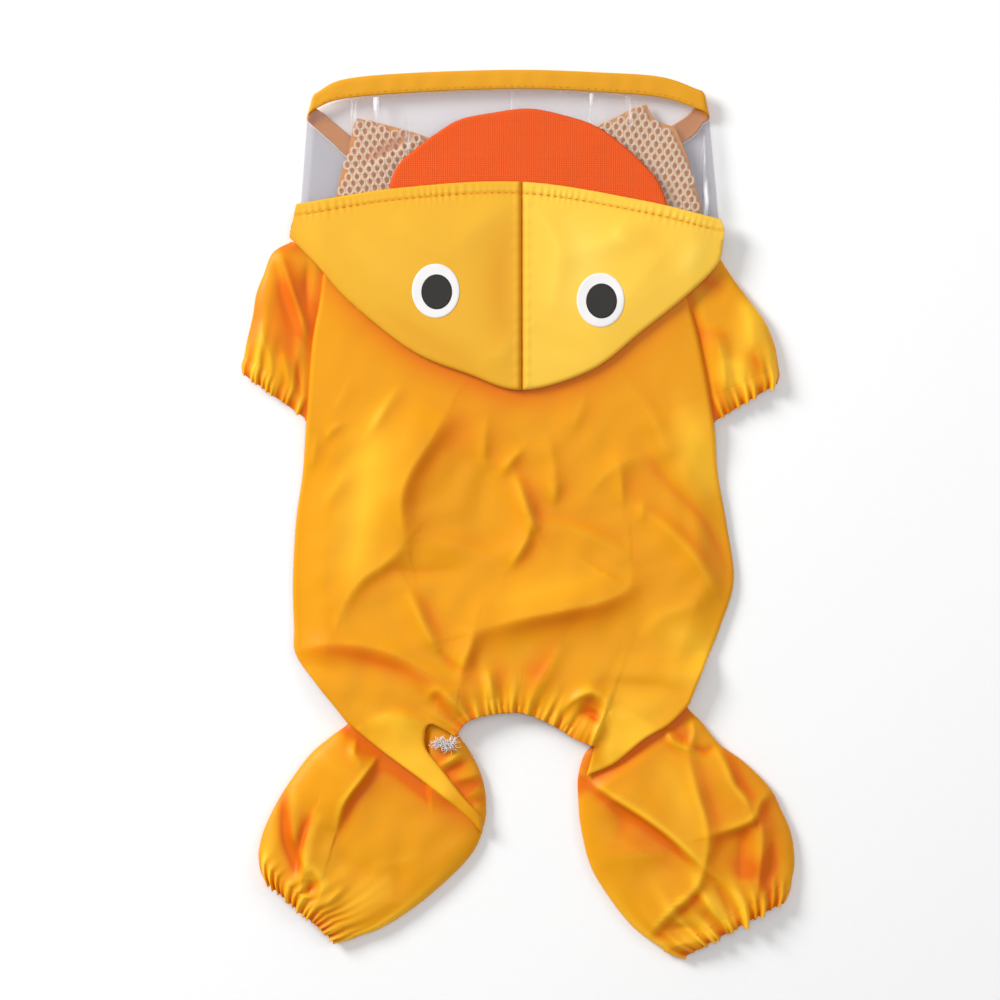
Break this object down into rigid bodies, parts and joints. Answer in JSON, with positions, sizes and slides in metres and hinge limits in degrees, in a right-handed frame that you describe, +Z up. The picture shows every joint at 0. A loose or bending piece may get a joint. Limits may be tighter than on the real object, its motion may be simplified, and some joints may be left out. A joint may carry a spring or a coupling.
{
  "type": "dog raincoat",
  "caption": "Small dog's hooded raincoat with sleeves and legs, laid flat, back up: flat eye patches and brim on the hood, clear visor with bound edge, gathered cuffs and tail edge.",
  "frame": {"origin": "middle of the coat's outline, on the surface that it lies on", "axes": "+X to the wearer's right side, +Y along the back from the tail to the visor, +Z up from the surface"},
  "size_m": [0.2375, 0.3813, 0.0113],
  "materials": {
    "coat_cloth": "smooth coated polyester taffeta, satin",
    "hood_cloth": "smooth coated polyester taffeta, satin",
    "brim_cloth": "plain woven polyester, matt",
    "clear_film": "clear flexible film, glossy",
    "net": "knitted net with small oval holes",
    "tape": "folded binding tape, satin",
    "hook_strip": "hook and loop strip, matt",
    "white_print": "heat-pressed film patch, smooth",
    "black_print": "heat-pressed film patch, smooth"
  },
  "bodies": {
    "root": {"back_panel": "coat_cloth", "tail_elastic": "coat_cloth", "belly_left": "coat_cloth", "belly_right": "coat_cloth", "closure_tape": "hook_strip", "throat_panel": "coat_cloth", "lining_left": "net", "lining_right": "net", "leg_left": "coat_cloth", "leg_right": "coat_cloth", "leg_left_cuff": "coat_cloth", "leg_right_cuff": "coat_cloth", "sleeve_left": "coat_cloth", "sleeve_right": "coat_cloth", "sleeve_left_cuff": "coat_cloth", "sleeve_right_cuff": "coat_cloth", "visor_film": "clear_film", "visor_binding": "tape", "brim": "brim_cloth", "hood_left": "hood_cloth", "hood_right": "hood_cloth", "eye_white_left": "white_print", "eye_black_left": "black_print", "eye_white_right": "white_print", "eye_black_right": "black_print"}
  },
  "joints": []
}
